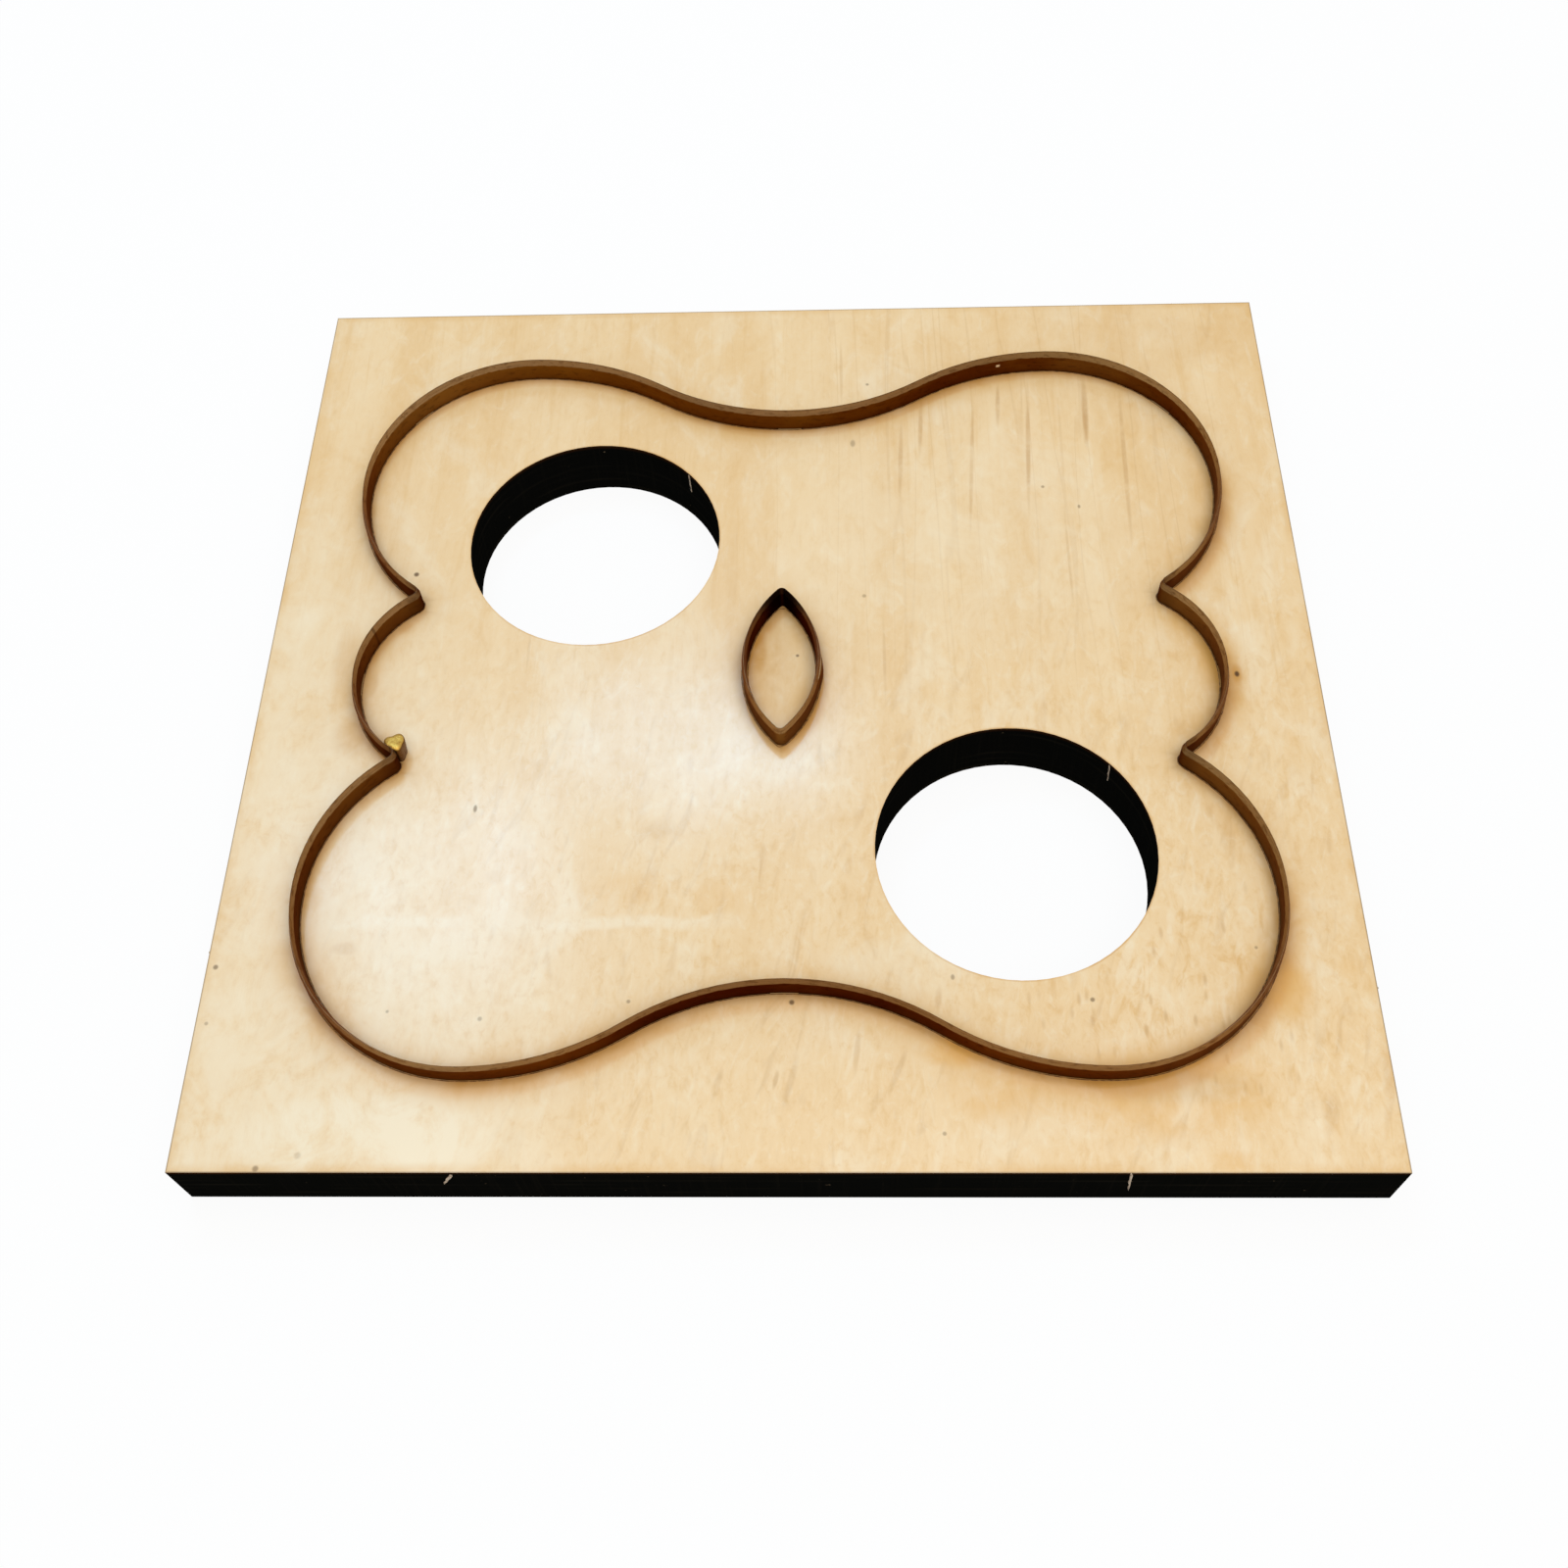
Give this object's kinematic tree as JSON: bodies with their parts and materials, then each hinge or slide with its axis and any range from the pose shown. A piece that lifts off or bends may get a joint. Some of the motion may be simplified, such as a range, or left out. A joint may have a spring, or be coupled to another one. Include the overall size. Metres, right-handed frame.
{
  "type": "steel rule die",
  "caption": "Flat cutting die: bent steel rule with a bevelled edge pressed into a laser-cut plywood board, for cutting a lobed blank with a pointed-oval window on a die press.",
  "frame": {"origin": "middle of the board's back face, which lies on the press bed", "axes": "+Z from the back face to the cutting edge, +X along the board's wide side, +Y to the edge away from the user"},
  "size_m": [0.25, 0.238, 0.0238],
  "materials": {
    "plywood": "sanded birch veneer, cut edges charred by the laser",
    "rule_steel": "brown tempered strip steel, lighter on the ground bevel",
    "braze": "as run, bright on top"
  },
  "bodies": {
    "root": {"die_board": "plywood", "upper_rule": "rule_steel", "lower_rule": "rule_steel", "centre_rule": "rule_steel", "corner_braze": "braze"}
  },
  "joints": []
}
